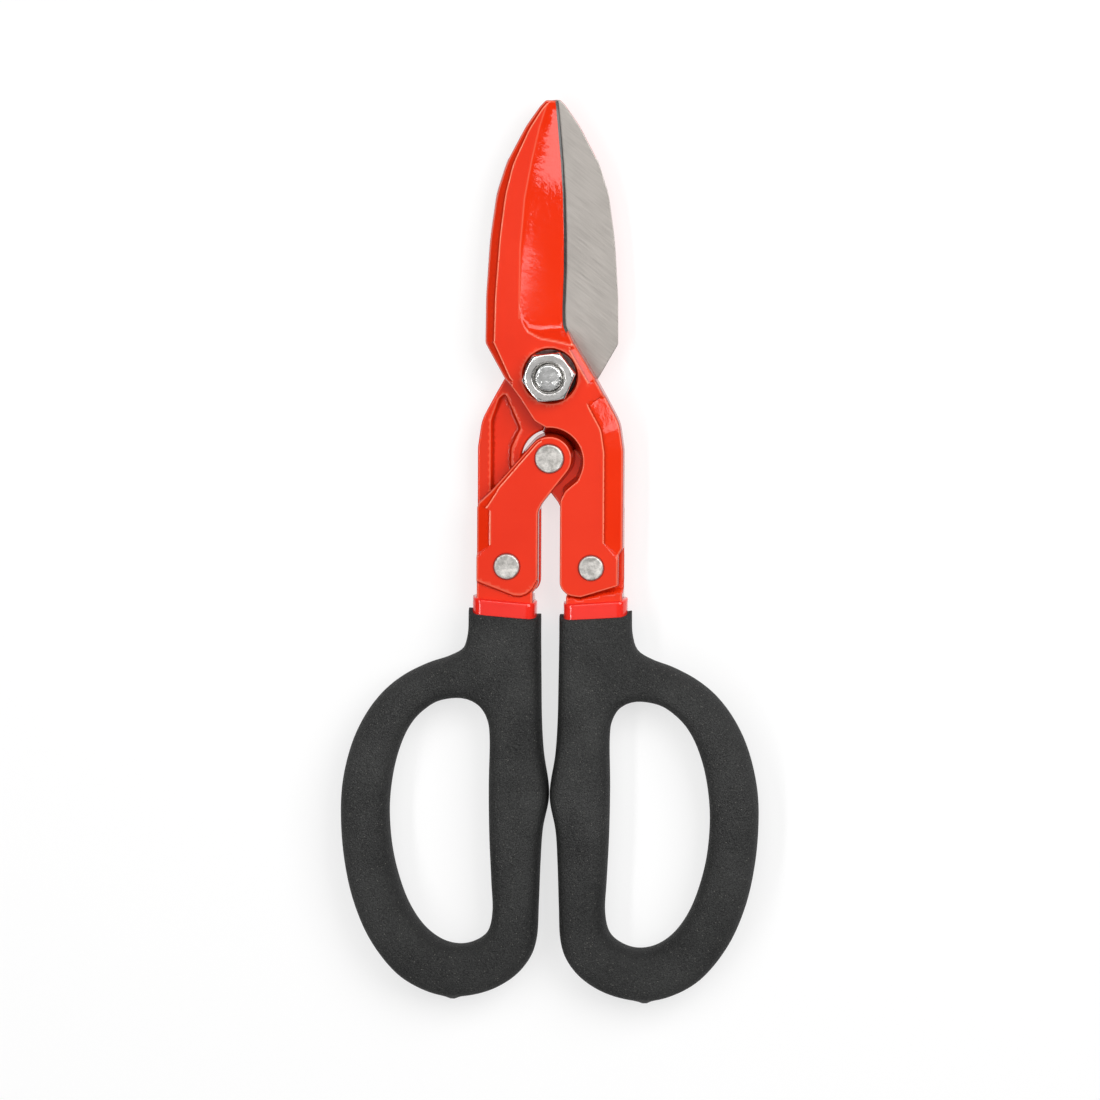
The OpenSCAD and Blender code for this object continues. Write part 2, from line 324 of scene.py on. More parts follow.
def forging(outline, holes, top, bottom, lines, pitch, flare, fine_spots=()):
    """Closed plate between two height fields, z = top(x, y) and z = bottom(x, y), over one flat
    outline with round holes (x, y, radius). The points are the outline, rows set in from it, the
    lines of the shape's features, and a square grid of the given pitch over the rest. The lower
    edge stands out beyond the upper one by flare, the forging's draft."""
    normal = inward(outline)
    rims = [circle((x, y), r, 48) for x, y, r in holes]
    x0, y0 = outline.min(0)
    x1, y1 = outline.max(0)

    def grid(step, low, high):
        gx, gy = np.meshgrid(np.arange(low[0], high[0], step), np.arange(low[1], high[1], step))
        return np.stack([gx.ravel() + (np.arange(gx.shape[0]) % 2).repeat(gx.shape[1]) * step / 2,
                         gy.ravel()], 1)

    rows = [outline + normal * s for s in RIM_ROWS]
    loose = np.concatenate([grid(pitch, (x0, y0), (x1, y1))]
                           + [grid(step, low, high) for step, low, high in fine_spots])
    loose = loose[nearest(loose, outline)[0] > 1.0]
    extra = np.concatenate(rows + list(lines) + [loose])
    extra = extra[inside(extra, outline)]
    extra = extra[nearest(extra, outline)[0] > 0.03]
    for x, y, r in holes:
        extra = extra[np.hypot(extra[:, 0] - x, extra[:, 1] - y) > r + 0.05]
    points = np.concatenate([outline] + rims + [extra])
    edges, first = [], 0
    for loop in [outline] + rims:
        k = np.arange(len(loop))
        edges += list(zip((first + k).tolist(), (first + (k + 1) % len(loop)).tolist()))
        first += len(loop)
    flat, _, tris, _, _, _ = delaunay_2d_cdt([Vector(p) for p in points.tolist()], edges, [], 1, 1e-5)
    flat, tris = np.array([tuple(p) for p in flat]), np.array(tris)
    middle = flat[tris].mean(1)
    keep = inside(middle, outline)
    for x, y, r in holes:
        keep &= np.hypot(middle[:, 0] - x, middle[:, 1] - y) > r * 0.998
    tris = tris[keep]
    used, where = np.unique(tris, return_inverse=True)
    flat, tris = flat[used], where.reshape(-1, 3)
    depth, corner = nearest(flat, outline)
    high, painted_shading_high = top(flat[:, 0], flat[:, 1], depth, corner)
    low, painted_shading_low = bottom(flat[:, 0], flat[:, 1], depth, corner)
    n = len(flat)
    skirt = normal[corner] * (flare[corner] * np.clip(1 - depth / DRAFT_SPREAD, 0, 1))[:, None]
    verts = np.concatenate([np.column_stack([flat, high]), np.column_stack([flat - skirt, low])])
    side = np.concatenate([tris[:, [0, 1]], tris[:, [1, 2]], tris[:, [2, 0]]])
    key = side[:, 0] * n + side[:, 1]
    rim = side[~np.isin(key, side[:, 1] * n + side[:, 0])]
    walls = np.concatenate([np.column_stack([rim[:, 1], rim[:, 0], rim[:, 0] + n]),
                            np.column_stack([rim[:, 1], rim[:, 0] + n, rim[:, 1] + n])])
    faces = np.concatenate([tris, tris[:, ::-1] + n, walls])
    return verts, faces, np.concatenate([painted_shading_high, painted_shading_low]), len(tris)


def blade_corners():
    """Corners (x, y, radius) of a blade from the tip anticlockwise, with the notch as an arc."""
    arc = np.radians(np.arange(96, -20, -6))
    notch = [(NOTCH_RADIUS * math.cos(a), NOTCH_Y + NOTCH_RADIUS * math.sin(a), 0) for a in arc]
    return ([(1.5, 76.45, 0.5), (-1.9, 76.55, 1.0), (-3.5, 74.87, 4), (-7.4, 69.35, 25),
             (-12.6, 59.49, 25), (-15.5, 50.42, 25), (-17.3, 37.61, 80), (-18.3, 21.83, 80),
             (-18.4, 8.7, 2.5), (-12.6, -1.5, 6), (-10.8, -3.3, 4), (-8.6, -6.2, 10), (-4.3, -12.8, 3)]
            + notch
            + [(7.9, -29.2, 2), (4.4, -32.2, 3), (3.0, -35.0, 3), (3.0, -59.6, 4), (5.4, -61.8, 3),
               (8.9, -62.3, 3), (19.35, -58.9, 0.5), (19.4, -50.4, 0.8), (20.5, -48.4, 1.2),
               (20.5, -21, 12), (19.4, -13.3, 12), (15.6, -6.2, 20), (13.2, -1.9, 10), (6.5, 9.2, 12),
               (3.9, 13.55, 5), (3.75, 17.89, 30), (4.1, 28.73, 80), (4.05, 39.58, 80), (3.7, 50.42, 80),
               (3.1, 59.3, 80), (2.3, 68.17, 80)])


def blade_shape(web):
    """A blade with its jaw at the upper left. The outer height is the least of three: the flat land,
    which thins towards the tip, a plane falling to the outline along the bevels, and the jaw's hollow,
    which falls across from its facet line to the cutting edge. The inner height is level but for
    the tail's pocket. Over the notch, at bearings from 20 to 110 degrees, its draft is wider by web."""
    outline = filleted(blade_corners(), 0.6)
    x, y = outline[:, 0], outline[:, 1]
    spine = (x < -1.2) & (y > 8.7)
    heel_left = (x < -9) & (y <= 8.7) & (y > -3.6)
    right = (x > 5.5) & (y < 9.5) & (y > -53) & (x > np.where(y < -1, 15, 6))
    width = np.where(spine, np.interp(y, SPINE_BEVEL_Y, SPINE_BEVEL), 0)
    width = np.where(heel_left, np.interp(y, HEEL_BEVEL_Y, HEEL_BEVEL), width)
    width = np.where(right, np.interp(y, TAIL_BEVEL_Y, TAIL_BEVEL), width)
    drop = np.where(spine | heel_left, width * 0.85, np.minimum(width * 0.55, 1.45))
    cutting = (x > 0.8) & (y > 12.2)
    radius = np.where(cutting, 0.12, PAINT_BREAK)
    off_notch = np.abs(np.hypot(x, y - NOTCH_Y) - NOTCH_RADIUS)
    bearing = np.degrees(np.arctan2(y - NOTCH_Y, x))
    over = np.interp(bearing, [8, 24, 104, 122], [0, 1, 1, 0])
    flare = np.where(cutting | (y > 60), 0, DRAFT)
    flare = flare + (NOTCH_DRAFT - DRAFT + web * over) * np.clip(1.2 - off_notch, 0, 1)

    def outer(px, py, depth, corner):
        share = np.clip((py - TAPER_FROM) / (TIP_Y - TAPER_FROM), 0, 1)
        land = LAYER_OUT - (LAYER_OUT - LAYER_IN - TIP_THICKNESS) * share ** 1.15
        w = np.maximum(width[corner], 1e-3)
        ended = TAIL_END_RUN[0] * (px - TAIL_END[0]) + TAIL_END_RUN[1] * (py - TAIL_END[1])
        ended = np.maximum(ended, 0) * (py < -40) * (px > 10)
        falling = land - drop[corner] * (1 - depth / w) + END_RISE * ended
        bevel = np.where(width[corner] > BEVELLED, falling, land + 1)
        facet, cut = np.interp(py, JAW_Y, FACET_X), np.interp(py, JAW_Y, CUT_X)
        across = np.clip((px - facet) / (cut - EDGE_STRIP - facet), -0.5, 1.3)
        edge = np.interp(py, JAW_Y, EDGE_Z)
        curve = np.interp(py, [20, 50], [0.25, 0.0])
        hollow = land - (land - edge) * across * (1 + curve * (1 - across))
        beyond = (py - np.interp(px, HOLLOW_END_X, HOLLOW_END_Y)) * 0.93
        scoop = np.where(py > 6, soft_most(hollow, LAYER_OUT - HOLLOW_END_SLOPE * beyond, 0.9), land + 1)
        z = soft_least(soft_least(land, scoop, BEVEL_BLEND), bevel, BEVEL_BLEND)
        strip = LAYER_IN + 0.4 + depth * 0.9
        z = np.where(cutting[corner] & (depth < 1.4), np.minimum(z, strip), z)
        z = z - rounded_edge(depth, radius[corner])
        spot = np.hypot(px, py)
        sunk = np.clip((SPOT_RADIUS + 0.12 - spot) / 0.12, 0, 1)
        z = z - 0.35 * np.clip((SPOT_RADIUS + 0.5 - spot) / 0.5, 0, 1) ** 2 * (spot > SPOT_RADIUS)
        # Painted highlight and painted shade lines on the outer face: along the bevels, the facet line, the
        # hollow's end, the spotface's rim and the broken edge, and a painted shadow round the rivet head.
        painted_shading = np.where((width[corner] > 0.3) & (ended < 0.1), bevel_painted_lines(depth, w, 0.8), 0)
        painted_shading += np.where(py > 16, 0.3 * streak(px - facet, 0.2), 0)
        painted_shading += np.where((py > 7) & (py < 16) & (px > facet), 0.5 * streak(beyond, 0.22), 0)
        painted_shading += 0.5 * streak(spot - SPOT_RADIUS - 0.35, 0.16) - streak(spot - SPOT_RADIUS + 0.1, 0.2)
        painted_shading += break_painted_lines(depth) - head_shadow(px, py, (RIVET_X, RIVET_Y), RIVET_HEAD)
        z = np.where(spot <= SPOT_RADIUS + 0.13, z * (1 - sunk) + (LAYER_OUT - SPOT_DEPTH) * sunk, z)
        return z, painted_shading

    pocket = filleted([(13.0, -5.4, 0.8), (8.5, -15.5, 1.5), (9.6, -17.6, 2), (11.1, -21.0, 4),
                       (11.3, -25.5, 4), (9.9, -29.8, 3), (6.2, -34.0, 2), (6.2, -44.5, 2),
                       (17.1, -44.5, 2), (17.1, -13.5, 6), (14.9, -7.2, 2)], 0.5)

    def inner(px, py, depth, corner):
        z = LAYER_IN + rounded_edge(depth, np.where(y > HEEL_Y - 9, 0.12, 0.4)[corner])
        at = np.column_stack([px, py])
        far = nearest(at, pocket)[0] * np.where(inside(at, pocket), 1, -1)
        # Painted shade over the inner face; a painted highlight on the pocket's rim and painted shade where
        # its wall meets its floor; a painted highlight inside the edge and painted shade on the notch's
        # edge.
        painted_shading = INNER_PAINTED_SHADE + 0.6 * streak(far + 0.15, 0.2) - 0.6 * streak(far - 0.65, 0.25)
        painted_shading += 0.4 * streak(depth - 0.3, 0.16) - 0.7 * streak(depth, 0.3) * (off_notch[corner] < 1)
        return z + POCKET_DEPTH * smooth_step((far + 0.1) / 0.7), painted_shading

    normal = inward(outline)
    wide = width > 0.3
    lines = [(outline + normal * (width + s)[:, None])[wide] for s in BESIDE]
    rows = np.linspace(15, 75.5, 120)
    lines += [np.column_stack([np.interp(rows, JAW_Y, FACET_X) + s, rows]) for s in BESIDE]
    lines += [circle((0, 0), SPOT_RADIUS + s, 96) for s in (0, 0.12, 0.3, 0.5)]
    lines += [circle((RIVET_X, RIVET_Y), RIVET_HEAD + s, 80) for s in HEAD_ROWS]
    lines += [pocket + inward(pocket) * s for s in (-0.1, 0.05, 0.25, 0.45, 0.6)]
    lines += [(outline + normal * s)[cutting] for s in (EDGE_STRIP, EDGE_STRIP + 0.15)]
    run_out = np.column_stack([np.linspace(14.8, 20.2, 28), np.linspace(-46.5, -50.9, 28)])
    lines += [run_out + np.array(TAIL_END_RUN) * s for s in END_ROWS]
    bores = [(0, 0, PIVOT_BORE), (RIVET_X, RIVET_Y, RIVET_BORE)]
    verts, faces, painted_shading, n = forging(outline, bores, outer, inner, lines, 1.0, flare,
                                     [(0.45, (-9.5, 8.0), (5.0, 19.0))])
    middle = verts[faces].mean(1)
    depth, corner = nearest(middle[:, :2], outline)
    is_inner = np.zeros(len(faces), bool)
    is_inner[n:2 * n] = True
    ground = is_inner & (middle[:, 1] > 0.45 * middle[:, 0] + 0.5)
    strip = ~is_inner & cutting[corner] & (depth < EDGE_STRIP)
    return verts, faces, painted_shading, np.where(strip, 2, np.where(ground, 1, 0))


def new_finish(name):
    """A material, its node tree, its Principled BSDF, and the Object coordinates for its patterns."""
    material = bpy.data.materials.new(name)
    material.use_nodes = True
    tree = material.node_tree
    tree.nodes.clear()
    out = tree.nodes.new("ShaderNodeOutputMaterial")
    shader = tree.nodes.new("ShaderNodeBsdfPrincipled")
    tree.links.new(shader.outputs[0], out.inputs[0])
    return material, tree, shader, add(tree, "TexCoord").outputs["Object"]


def add(tree, kind, inputs=(), **settings):
    """A node of that kind with its settings. An input is a value, or another node's output."""
    node = tree.nodes.new("ShaderNode" + kind)
    for name, value in settings.items():
        setattr(node, name, value)
    for key, value in dict(inputs).items():
        if isinstance(value, bpy.types.NodeSocket):
            tree.links.new(value, node.inputs[key])
        else:
            node.inputs[key].default_value = value
    return node


def noise(tree, at, scale, detail, roughness=0.5):
    """A soft noise's value at a place, from nothing to one."""
    inputs = {"Vector": at, "Scale": scale, "Detail": detail, "Roughness": roughness}
    return add(tree, "TexNoise", inputs).outputs["Fac"]


def worked(tree, operation, *values):
    """The outcome of one arithmetic step on values or other nodes' outputs."""
    return add(tree, "Math", dict(enumerate(values)), operation=operation).outputs[0]


def new_group(name, ins, outs):
    """A shader node group with float, vector or colour sockets (name, kind, default)."""
    group = bpy.data.node_groups.new(name, "ShaderNodeTree")
    for label, kind, default in ins:
        socket = group.interface.new_socket(label, in_out="INPUT", socket_type="NodeSocket" + kind)
        if default is not None:
            socket.default_value = default
    for label, kind in outs:
        group.interface.new_socket(label, in_out="OUTPUT", socket_type="NodeSocket" + kind)
    return group, group.nodes.new("NodeGroupInput"), group.nodes.new("NodeGroupOutput")


def make_ripple_group():
    """Skin of a sprayed or dipped coat: two sizes of soft noise make a height, and a third,
    broader one makes a mask for slight changes of tint."""
    group, came, out = new_group("coat_ripple", [("Position", "Vector", None), ("Size", "Float", 900.0)],
                                 [("Height", "Float"), ("Cloud", "Float")])
    at = came.outputs["Position"]
    fine = noise(group, at, came.outputs["Size"], 2.0)
    broad = noise(group, at, 160.0, 2.0)
    group.links.new(worked(group, "ADD", fine, broad), out.inputs["Height"])
    group.links.new(noise(group, at, 38.0, 4.0), out.inputs["Cloud"])
    return group


ripple_group = make_ripple_group()


def mixed(tree, mask, first, second):
    """A colour between first and second, by a mask. Each is a colour or another node's output."""
    first, second = (c if isinstance(c, bpy.types.NodeSocket) else (*c, 1) for c in (first, second))
    node = add(tree, "Mix", {"Factor": mask, "A": first, "B": second}, data_type="RGBA")
    return node.outputs["Result"]


def spread(tree, value, low, high, first=0.0, last=1.0):
    """A value that goes from first to last as the given one goes from low to high."""
    return add(tree, "MapRange", {0: value, 1: low, 2: high, 3: first, 4: last}).outputs[0]


def skin_of(tree, position, size):
    """The coat ripple group's height and cloud on this material's surface."""
    node = add(tree, "Group", {"Position": position, "Size": size}, node_tree=ripple_group)
    return node.outputs["Height"], node.outputs["Cloud"]


def dress(tree, shader, colour, height, strength, distance, rough=None):
    """Puts the colour, the bump made from the height, and the roughness on the shader."""
    bump = add(tree, "Bump", {"Strength": strength, "Distance": distance, "Height": height})
    tree.links.new(colour, shader.inputs["Base Color"])
    tree.links.new(bump.outputs[0], shader.inputs["Normal"])
    if rough is not None:
        tree.links.new(rough, shader.inputs["Roughness"])


def forging_paint():
    """Sprayed red-orange enamel over a forged surface: slightly uneven tint, a faint ripple, and
    painted highlight and painted shade lines, lighter or darker where the painted shading attribute says."""
    material, tree, shader, position = new_finish("forging_paint")
    height, cloud = skin_of(tree, position, 750.0)
    plain = mixed(tree, spread(tree, cloud, 0.35, 0.65), (0.82, 0.027, 0.003), (0.87, 0.035, 0.006))
    painted_shading = add(tree, "Attribute", (), attribute_name="painted_shading").outputs["Fac"]
    # Painted highlight: towards pale orange where the painted shading attribute is positive. Painted shade:
    # towards near black where it is negative.
    highlighted = mixed(tree, spread(tree, painted_shading, 0.0, 1.0, 0.0, 0.75), plain, (1.0, 0.42, 0.26))
    shaded = mixed(tree, spread(tree, painted_shading, 0.0, -1.0, 0.0, 0.8), highlighted, (0.16, 0.006, 0.003))
    dress(tree, shader, shaded, height, 0.06, 0.0003, spread(tree, cloud, 0.3, 0.7, 0.05, 0.1))
    shader.inputs["Specular IOR Level"].default_value = 0.42
    return material


def ground_steel(name, dark, light):
    """Bare tool steel from the surface grinder: fine slanted scratches between two greys."""
    material, tree, shader, position = new_finish(name)
    turned = add(tree, "Mapping", {"Vector": position, "Rotation": (0, 0, math.radians(-38)),
                                   "Scale": (1 / 150, 1 / 3500, 1 / 300)}, vector_type="TEXTURE")
    scratch = noise(tree, turned.outputs[0], 1.0, 3.0)
    level = worked(tree, "ADD", scratch, noise(tree, position, 60.0, 3.0))
    colour = mixed(tree, spread(tree, level, 0.75, 1.25), dark, light)
    dress(tree, shader, colour, scratch, 0.12, 0.0001, spread(tree, scratch, 0.3, 0.7, 0.36, 0.5))
    shader.inputs["Metallic"].default_value = 0.85
    return material


paint = forging_paint()
blade_finishes = (paint,
                  ground_steel("ground_steel", (0.44, 0.408, 0.378), (0.515, 0.48, 0.445)),
                  ground_steel("edge_steel", (0.10, 0.10, 0.10), (0.17, 0.17, 0.165)))
for blade_name, is_rear, web in (("front_blade", False, FRONT_WEB), ("rear_blade", True, 0.0)):
    blade_verts, blade_faces, blade_painted_shading, blade_bare = blade_shape(web)
    blade = make_piece(blade_name + "_forged", blade_verts, blade_faces, is_rear, blade_bare, blade_painted_shading)
    for finish in blade_finishes:
        blade.data.materials.append(finish)
    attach(blade, blade_name + "_body")
    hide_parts(blade_name)


# ---- Pivot bolt, washer and nut
# A zinc-plated M8 bolt with a low hex head, a thin washer in the spotface and a chamfered hex nut.
# The bolt goes in from the rear and its end stands just proud of the nut.

HEX_HALF = 6.5
HEX_TURN = math.radians(7.5)
BOLT_RADIUS = 4.0
WASHER_T = 0.6
NUT_H = 5.6
NUT_FOOT = LAYER_OUT - SPOT_DEPTH + WASHER_T
CHAMFER_CIRCLE = HEX_HALF * 1.02
CHAMFER_SLOPE = math.tan(math.radians(30))


def turned_piece(profile, n=144, closed=False):
    """Profile rows (radius, z, hex share) carried round the pivot's axis. A row's radius grows by
    its hex share from a circle's to a hexagon's, which is the flat's distance over the cosine of the
    angle off that flat, and a row beyond the chamfer circle drops by a 30 degree cone."""
    p = np.array(profile, float)
    a = np.arange(n) * 2 * np.pi / n
    off = np.abs((a - HEX_TURN + np.pi / 6) % (np.pi / 3) - np.pi / 6) - np.pi / 6
    r = p[:, :1] * (1 - p[:, 2:3] + p[:, 2:3] / np.cos(off))
    z = np.repeat(p[:, 1:2], n, 1)
    if p.shape[1] > 3:
        z = z + p[:, 3:4] * np.maximum(r - CHAMFER_CIRCLE, 0) * CHAMFER_SLOPE
    verts = np.stack([r * np.cos(a), r * np.sin(a), z], 2).reshape(-1, 3)
    rows = len(p) if closed else len(p) - 1
    i, k = np.meshgrid(np.arange(rows), np.arange(n), indexing="ij")
    j = (i + 1) % len(p)
    faces = np.stack([i * n + k, i * n + (k + 1) % n, j * n + (k + 1) % n, j * n + k], 2)
    faces = faces.reshape(-1, 4).tolist()
    if not closed:
        faces = [list(range(n))[::-1]] + faces + [list(range((len(p) - 1) * n, len(p) * n))]
    return verts, faces


def zinc_plate(name, dark, light, relief, size):
    """Bright zinc: clean and reflective, with faint clouding and a surface relief of a given size."""
    material, tree, shader, position = new_finish(name)
    height, _ = skin_of(tree, position, size)
    colour = mixed(tree, spread(tree, height, 0.8, 1.2), dark, light)
    dress(tree, shader, colour, height, relief, 0.0003, spread(tree, height, 0.8, 1.2, 0.16, 0.26))
    shader.inputs["Metallic"].default_value = 1.0
    return material


nut_zinc = zinc_plate("nut_zinc", (0.74, 0.72, 0.70), (0.84, 0.82, 0.80), 0.04, 1400.0)
bolt_zinc = zinc_plate("bolt_zinc", (0.62, 0.62, 0.61), (0.86, 0.86, 0.85), 0.9, 620.0)
# The washer's zinc is given near black with a red tinge: painted shade in the spotface round the nut, and a
# painted reflection of the red paint.
washer_in_shade = zinc_plate("washer_in_shade", (0.022, 0.012, 0.011), (0.10, 0.055, 0.05), 0.3, 500.0)
nut_top = NUT_FOOT + NUT_H
bolt_end = nut_top + 0.5
head_top = -(LAYER_OUT - SPOT_DEPTH) - 0.03
head_face = -SHEAR
nut_profile = [(BOLT_RADIUS + 0.02, NUT_FOOT, 0, 0), (HEX_HALF - 0.3, NUT_FOOT, 1, 0),
               (HEX_HALF - 0.05, NUT_FOOT + 0.15, 1, 0), (HEX_HALF, NUT_FOOT + 0.4, 1, 0),
               (HEX_HALF, nut_top - 0.2, 1, -1), (HEX_HALF - 0.04, nut_top - 0.06, 1, -1),
               (HEX_HALF - 0.14, nut_top, 1, -1), (HEX_HALF - 0.5, nut_top, 0.8, -1),
               (HEX_HALF - 0.9, nut_top, 0.2, 0), (4.75, nut_top, 0, 0), (4.6, nut_top - 0.05, 0, 0),
               (BOLT_RADIUS + 0.1, nut_top - 1.0, 0, 0), (BOLT_RADIUS + 0.02, nut_top - 1.2, 0, 0)]
washer_foot = NUT_FOOT - WASHER_T
washer_profile = [(BOLT_RADIUS + 0.2, washer_foot, 0), (SPOT_RADIUS - 0.4, washer_foot, 0),
                  (SPOT_RADIUS - 0.3, washer_foot + 0.1, 0), (SPOT_RADIUS - 0.3, NUT_FOOT - 0.1, 0),
                  (SPOT_RADIUS - 0.4, NUT_FOOT - 0.02, 0), (SPOT_RADIUS - 0.7, NUT_FOOT, 0),
                  (BOLT_RADIUS + 0.2, NUT_FOOT, 0)]
bolt_profile = [(HEX_HALF - 0.8, head_face, 0, 0), (HEX_HALF - 0.5, head_face, 0.5, 0),
                (HEX_HALF - 0.2, head_face + 0.03, 0.96, 1), (HEX_HALF - 0.04, head_face + 0.15, 1, 1),
                (HEX_HALF, head_face + 0.4, 1, 1), (HEX_HALF, head_top - 0.2, 1, 0),
                (HEX_HALF - 0.15, head_top, 1, 0), (BOLT_RADIUS, head_top, 0, 0),
                (BOLT_RADIUS, nut_top - 1.2, 0, 0), (BOLT_RADIUS - 0.3, nut_top - 0.7, 0, 0),
                (BOLT_RADIUS - 0.35, bolt_end - 0.3, 0, 0), (BOLT_RADIUS - 0.45, bolt_end - 0.1, 0, 0),
                (BOLT_RADIUS - 0.7, bolt_end, 0, 0), (2.4, bolt_end - 0.02, 0, 0),
                (1.5, bolt_end - 0.1, 0, 0), (0.4, bolt_end - 0.14, 0, 0)]
for name, profile, is_ring, finish in (("pivot_nut", nut_profile, True, nut_zinc),
                                       ("pivot_washer", washer_profile, True, washer_in_shade),
                                       ("pivot_bolt", bolt_profile, False, bolt_zinc)):
    verts, faces = turned_piece(profile, closed=is_ring)
    piece = make_piece(name + "_turned", verts, faces)
    piece.data.materials.append(finish)
    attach(piece, "front_blade_body")
    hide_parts(name)


# ---- Rivets
# Solid steel rivets, cold headed on both sides with flat, slightly dished heads. The largest joins
# the two handles at the fulcrum, and the other two join each handle to a blade's tail.

RIVET_PROUD = 0.8
LEFT_HEAD = 3.6
FULCRUM_HEAD = 4.0


def rivet_steel():
    """Satin steel of a set rivet head: fine pits and a mottled, slightly darker tone."""
    material, tree, shader, position = new_finish("rivet_steel")
    height, _ = skin_of(tree, position, 2200.0)
    mottle = noise(tree, position, 520.0, 5.0, 0.75)
    colour = mixed(tree, spread(tree, mottle, 0.38, 0.62), (0.46, 0.44, 0.41), (0.84, 0.81, 0.77))
    dress(tree, shader, colour, height, 0.25, 0.0002, spread(tree, mottle, 0.3, 0.7, 0.32, 0.52))
    shader.inputs["Metallic"].default_value = 0.9
    return material


def rivet_profile(radius, shank):
    """Rows from the rear head's middle, down the shank, to the front head's middle."""
    low, high = LAYER_OUT + 0.03, LAYER_OUT + RIVET_PROUD
    half = [(shank, 0), (shank, low), (radius - 0.1, low), (radius, low + 0.12),
            (radius - 0.02, high - 0.3), (radius - 0.14, high - 0.1), (radius - 0.36, high),
            (radius - 0.6, high - 0.02), (radius * 0.5, high - 0.07), (0.3, high - 0.09)]
    return [(r, -z, 0) for r, z in half[:0:-1]] + [(r, z, 0) for r, z in half]


rivet_finish = rivet_steel()
for name, body, x, y, radius in (("fulcrum_rivet", "left_handle_body", 0, FULCRUM_Y, FULCRUM_HEAD),
                                 ("left_rivet", "left_handle_body", -RIVET_X, RIVET_Y, LEFT_HEAD),
                                 ("right_rivet", "right_handle_body", RIVET_X, RIVET_Y, RIVET_HEAD)):
    verts, faces = turned_piece(rivet_profile(radius, RIVET_BORE), n=72)
    piece = make_piece(name + "_set", verts + np.array([x, y, 0]), faces)
    piece.data.materials.append(rivet_finish)
    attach(piece, body)
    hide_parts(name)


# ---- Handles
# Twin forgings: a flat arm for the fulcrum rivet, a square tang centred between the layers, and a
# round bar bent into the finger loop. Bar, sleeve and grip follow one dipped shape, each coat a
# layer further out, with a flat stem, a bump stop and a pointed drip at the bottom.

ARM_END = 6.2
END_DRAFT = 0.65
TANG_T = 8.0
BAR_TOP = -72.0
# Widths of the arm's bevels, and where the outer one runs out.
OUTER_BEVEL_Y = [-53.0, -52.5, -36.5]
OUTER_BEVEL = [0, 3.8, 3.8]
SLOPE_BEVEL_X = [-19, -15, 0, 5]
SLOPE_BEVEL = [2.4, 1.1, 0.8, 0.0]
ARM_BEVEL_END = (-16.4, -47.6)
ARM_BEVEL_RUN = (0.579, -0.815)
# The step from arm to tang on the outer side, and the shoulder on the inner side.
STEP_X = [-20.45, -9.9, -8.0, -6.2, -4.7, -3.2]
STEP_Y = [-58.5, -62.4, -62.5, -61.8, -60.4, -57.5]
STEP_ROWS = (-0.15, -0.05, 0.03, 0.12, 0.3, 0.5, 0.72, 0.9)
SHOULDER_X = [-20.5, -14.2, -8.9, -4.7]
SHOULDER_Y = [-60.3, -61.5, -62.8, -62.2]
# Thickness of the dipped loop, of its end and of one coat, then its outline and its hole.
GRIP_T = 14.6
RIM_T = 12.6
COAT = 1.15
OUTER_EDGE = [(-22.9, -70), (-23.1, -73.6), (-24.6, -77.92), (-28.8, -80.43), (-34.8, -82.55),
              (-41.4, -85.97), (-47.2, -90.71), (-52.2, -97.35), (-56, -105.51), (-58.5, -115.78),
              (-59.1, -125.85), (-58.2, -138.09), (-55.6, -150.22), (-50.8, -161.51), (-43.3, -171.06),
              (-34.8, -176.09), (-26.6, -177.6), (-17.6, -175.99), (-10.3, -172.07), (-5.5, -166.65),
              (-3.4, -160.49), (-2.9, -150.42), (-2.5, -139.12), (-1.9, -129.48), (-0.45, -122.33),
              (-0.15, -118.8), (-0.5, -114.77), (-1.7, -107.32), (-2.3, -97.65), (-2.5, -85.57),
              (-2.7, -74), (-2.7, -70)]
HOLE_EDGE = [(-30.6, -92.72), (-34.9, -95.14), (-38.9, -99.27), (-42, -105.31), (-44.3, -113.56),
             (-45.4, -123.33), (-44.9, -133.57), (-43.1, -142.61), (-40.1, -151.03), (-35.9, -157.61),
             (-30.9, -161.61), (-25.7, -162.95), (-20.9, -161.82), (-17.2, -158.63), (-15.9, -152.47),
             (-16.3, -143.74), (-16.9, -130.9), (-17.1, -116.79), (-16.9, -103.7), (-17.6, -97.96),
             (-20.1, -93.93), (-24.6, -92.01)]
LOOP_MIDDLE = (-30.5, -126.0)
STEM_SHIFT = 9.5
END_BREAK = 0.45
DRIP_AT = (-27.3, -170)
DRIP = 1.1


def curve_through(points, n, closed):
    """Cubic curve through the points, sampled at n places evenly along its length. Between two
    points it is the cubic whose slope at each is half the step from the point before to the one after."""
    p = np.array(points, float)
    if closed:
        p = np.concatenate([p[-1:], p, p[:2]])
    else:
        p = np.concatenate([2 * p[:1] - p[1:2], p, 2 * p[-1:] - p[-2:-1]])
    t = np.linspace(0, 1, 24, endpoint=False)[None, :, None]
    a, b, c, d = (p[i:len(p) - 3 + i][:, None] for i in range(4))
    line = 2 * b + (c - a) * t + (2 * a - 5 * b + 4 * c - d) * t ** 2 + (3 * b - a - 3 * c + d) * t ** 3
    line = line / 2
    line = np.concatenate([line.reshape(-1, 2), p[-2:-1]])
    run = np.concatenate([[0], np.cumsum(np.linalg.norm(np.diff(line, axis=0), axis=1))])
    at = np.linspace(0, run[-1], n, endpoint=not closed)
    return np.column_stack([np.interp(at, run, line[:, 0]), np.interp(at, run, line[:, 1])])


